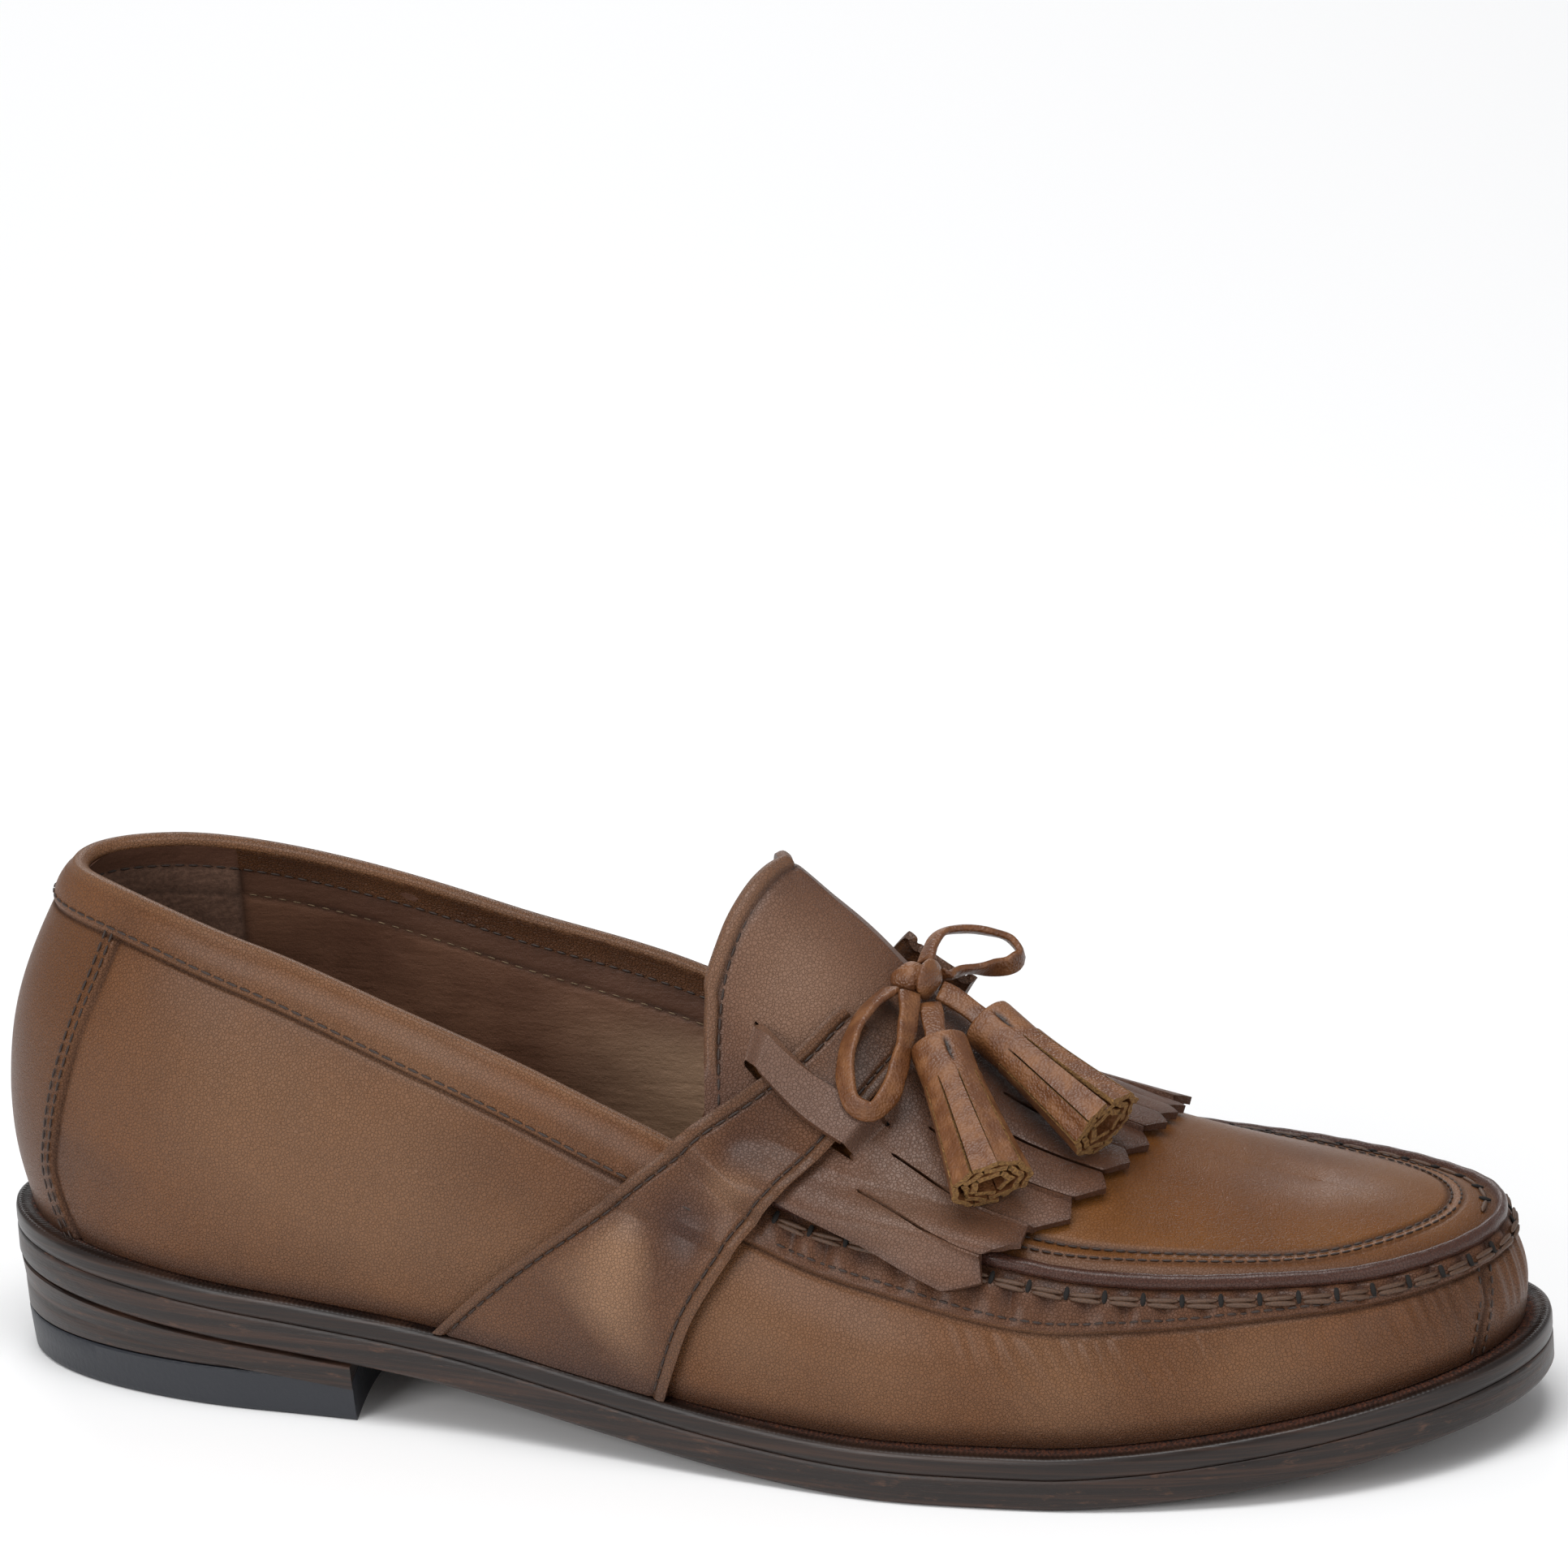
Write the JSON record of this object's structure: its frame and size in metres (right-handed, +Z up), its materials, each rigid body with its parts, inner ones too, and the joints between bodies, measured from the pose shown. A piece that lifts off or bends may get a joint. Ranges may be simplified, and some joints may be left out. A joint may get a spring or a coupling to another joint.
{
  "type": "tassel loafer",
  "caption": "Tassel loafer for the right foot: hollow moc-toe upper, fringed kiltie tongue, saddle straps, a tied thong with tassels, and a welted sole on a stacked heel.",
  "frame": {"origin": "the middle of the outsole's outline in length and width, on the ground", "axes": "+X from heel to toe, +Y to the inner side of the foot, +Z up"},
  "size_m": [0.3006, 0.106, 0.1053],
  "materials": {
    "sole": "dark stained leather, waxed edge",
    "rubber": "matte black rubber",
    "sock": "worn natural leather",
    "upper": "aniline calf with a soft shine",
    "tongue": "aniline calf, darker",
    "thong": "tan lace leather"
  },
  "bodies": {
    "root": {"top_lift": "rubber", "heel_lift": "sole", "outsole": "sole", "welt": "sole", "insole": "sock", "upper": "upper", "tongue_kiltie": "tongue", "saddle_strap_lateral": "upper", "saddle_strap_medial": "upper", "bow_knot": "thong", "bow_loop_near": "thong", "bow_loop_far": "thong", "bow_end_near": "thong", "bow_end_far": "thong", "tassel_near": "thong", "tassel_far": "thong"}
  },
  "joints": []
}
